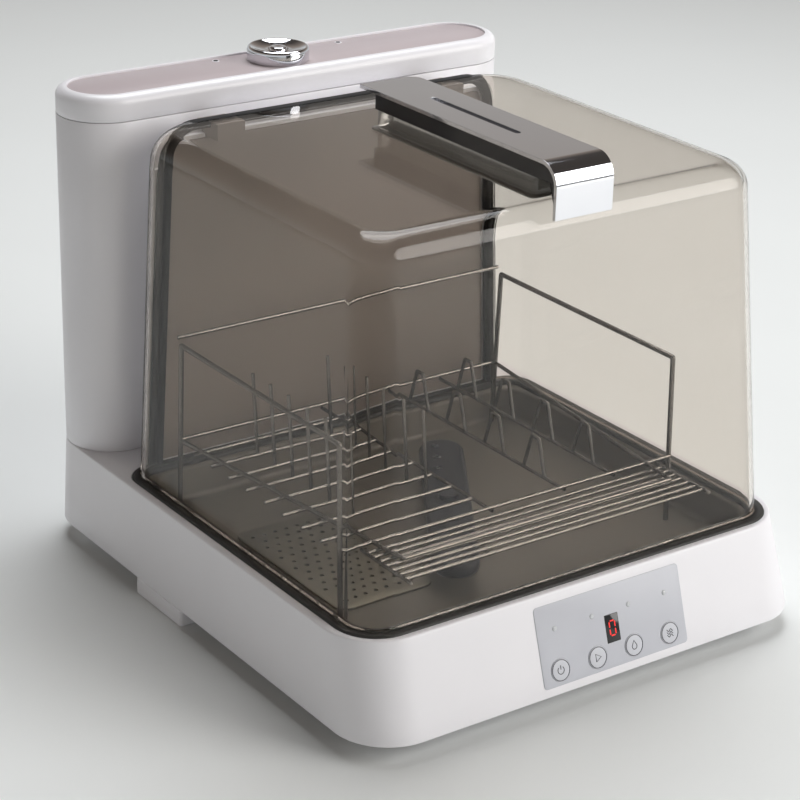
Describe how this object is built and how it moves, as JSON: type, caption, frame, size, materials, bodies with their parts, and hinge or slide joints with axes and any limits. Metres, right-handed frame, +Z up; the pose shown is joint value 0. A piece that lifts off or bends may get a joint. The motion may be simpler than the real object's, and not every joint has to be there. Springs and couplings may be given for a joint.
{
  "type": "countertop dishwasher",
  "caption": "Compact countertop dishwasher: white base with a sloped control panel, rear water column, smoky clear hinged hood with a chrome handle, wire dish rack and spray arm.",
  "frame": {"origin": "bottom centre of the bounding box, on the surface the feet stand on", "axes": "+Z up, -Y towards the control panel, +X to the right seen from the front"},
  "size_m": [0.408, 0.481, 0.389],
  "materials": {
    "white_abs": "glossy moulded cool white",
    "tub_grey": "satin moulded grey",
    "dark_plastic": "satin moulded black",
    "navy_plastic": "satin moulded dark navy",
    "black_rubber": "matt moulded rubber",
    "stainless": "brushed",
    "rack_wire": "polished drawn wire",
    "chrome": "bright plated",
    "panel_film": "satin silver-grey film",
    "cover_grey": "satin mauve grey",
    "display_black": "glossy window",
    "digit_red": "lit segment",
    "lamp_clear": "small clear lens",
    "board_green": "solder mask",
    "tank_clear": "translucent natural",
    "float_orange": "foam",
    "smoke_clear": "clear smoky moulding"
  },
  "bodies": {
    "base": {"base_shell": "white_abs", "rear_feet": "white_abs", "tank_shell": "white_abs", "tank_cover": "white_abs", "filler_neck": "white_abs", "back_frame": "white_abs", "wash_tub": "tub_grey", "base_plate": "dark_plastic", "front_feet": "dark_plastic", "sump_cup": "dark_plastic", "sump_hose": "dark_plastic", "pump_housing": "dark_plastic", "delivery_hose": "dark_plastic", "drain_pump": "dark_plastic", "drain_spigot": "dark_plastic", "spray_post": "dark_plastic", "cable_gland": "dark_plastic", "fill_valve": "dark_plastic", "fill_hose": "dark_plastic", "hood_sensor": "dark_plastic", "spray_nut": "navy_plastic", "tub_seal": "black_rubber", "drain_hose": "black_rubber", "base_screws": "stainless", "sump_filter": "stainless", "pump_motor": "stainless", "heater_tube": "stainless", "float_stem": "stainless", "hinge_pins": "stainless", "control_panel": "panel_film", "cover_panel": "cover_grey", "display_window": "display_black", "display_digit": "digit_red", "indicator_lenses": "lamp_clear", "control_board": "board_green", "power_board": "board_green", "water_tank": "tank_clear"},
    "hood": {"hood_shell": "smoke_clear", "hood_rear_seal": "black_rubber", "hinge_knuckles": "dark_plastic", "hood_magnet": "stainless", "handle_plinth": "smoke_clear", "handle_base": "dark_plastic", "handle_strip": "chrome"},
    "spray_arm": {"spray_arm": "navy_plastic"},
    "impeller": {"pump_impeller": "navy_plastic"},
    "rack": {"rack_frame": "rack_wire", "rack_floor": "rack_wire", "plate_prongs": "rack_wire", "bowl_loops": "rack_wire", "cutlery_shelf": "rack_wire"},
    "filler_cap": {"filler_cap": "chrome"},
    "float": {"tank_float": "float_orange"},
    "key_1": {"key_1": "white_abs"},
    "key_2": {"key_2": "white_abs"},
    "key_3": {"key_3": "white_abs"},
    "key_4": {"key_4": "white_abs"}
  },
  "joints": [
    {"name": "hood_hinge", "type": "hinge", "parent": "base", "child": "hood", "pos_m": [0, 0.1325, 0.344], "axis": [-1, 0, 0], "range_deg": [0, 80]},
    {"name": "rack_lift", "type": "slide", "parent": "base", "child": "rack", "axis": [0, 0, 1], "range_m": [0, 0.06]},
    {"name": "spray_arm_spin", "type": "hinge", "parent": "base", "child": "spray_arm", "pos_m": [0, -0.04665, 0.075], "axis": [0, 0, 1], "continuous": true},
    {"name": "impeller_spin", "type": "hinge", "parent": "base", "child": "impeller", "pos_m": [-0.105, 0.1385, 0.0405], "axis": [0, 1, 0], "continuous": true},
    {"name": "cap_lift", "type": "slide", "parent": "base", "child": "filler_cap", "axis": [0, 0, 1], "range_m": [0, 0.06]},
    {"name": "float_slide", "type": "slide", "parent": "base", "child": "float", "axis": [0, 0, 1], "range_m": [0, 0.15]},
    {"name": "key_1_press", "type": "slide", "parent": "base", "child": "key_1", "axis": [0, 0.9513, -0.3082], "range_m": [0, 0.0006], "stiffness_N_per_m": 900},
    {"name": "key_2_press", "type": "slide", "parent": "base", "child": "key_2", "axis": [0, 0.9513, -0.3082], "range_m": [0, 0.0006], "stiffness_N_per_m": 900},
    {"name": "key_3_press", "type": "slide", "parent": "base", "child": "key_3", "axis": [0, 0.9513, -0.3082], "range_m": [0, 0.0006], "stiffness_N_per_m": 900},
    {"name": "key_4_press", "type": "slide", "parent": "base", "child": "key_4", "axis": [0, 0.9513, -0.3082], "range_m": [0, 0.0006], "stiffness_N_per_m": 900}
  ]
}
